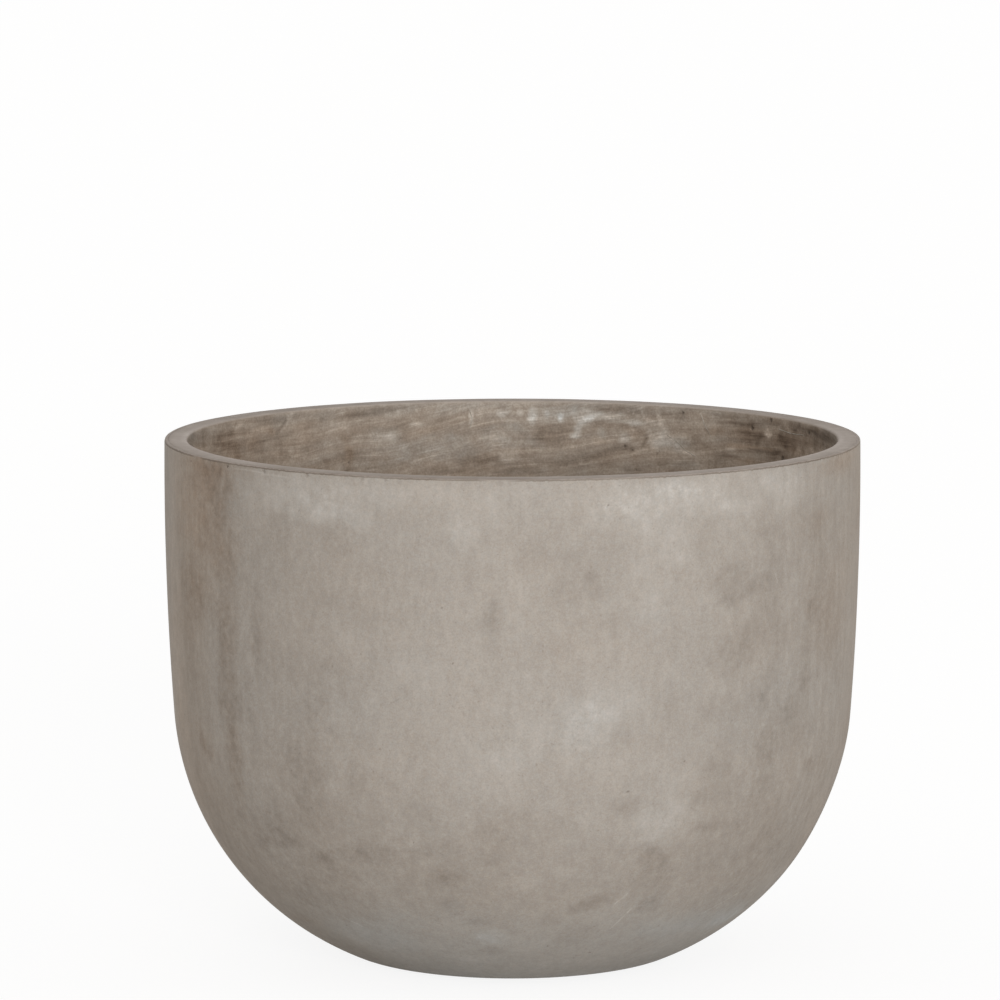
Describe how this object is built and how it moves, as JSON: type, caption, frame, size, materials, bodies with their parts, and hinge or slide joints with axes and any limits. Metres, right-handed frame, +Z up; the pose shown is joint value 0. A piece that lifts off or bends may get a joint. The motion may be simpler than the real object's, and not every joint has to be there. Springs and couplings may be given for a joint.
{
  "type": "bowl planter",
  "caption": "Round bowl planter of glass-fibre concrete with a flat rim, a rounded underside, a drain hole with a lift-out rubber plug, and rubber foot pads.",
  "frame": {"origin": "on the ground, under the centre of the base", "axes": "+Z up along the bowl's axis of revolution, from the base to the open rim; +X and +Y level, between the foot pads"},
  "size_m": [0.5999, 0.6, 0.45],
  "materials": {
    "face_concrete": "matt cast concrete, warm grey with soft cloudy patches and fine sand",
    "backing_concrete": "rough hand-laid mortar, brown-grey with trowel marks and pale bloom",
    "glass_mat": "chopped glass strands bedded in cement",
    "plug_rubber": "moulded black rubber, satin",
    "pad_rubber": "matt black rubber"
  },
  "bodies": {
    "planter": {"face_coat": "face_concrete", "fibre_mat": "glass_mat", "backing_coat": "backing_concrete", "foot_pad_1": "pad_rubber", "foot_pad_2": "pad_rubber", "foot_pad_3": "pad_rubber", "foot_pad_4": "pad_rubber"},
    "plug": {"drain_plug": "plug_rubber"}
  },
  "joints": [
    {"name": "drain_plug_lift", "type": "slide", "parent": "planter", "child": "plug", "axis": [0, 0, 1], "range_m": [0, 0.46]}
  ]
}
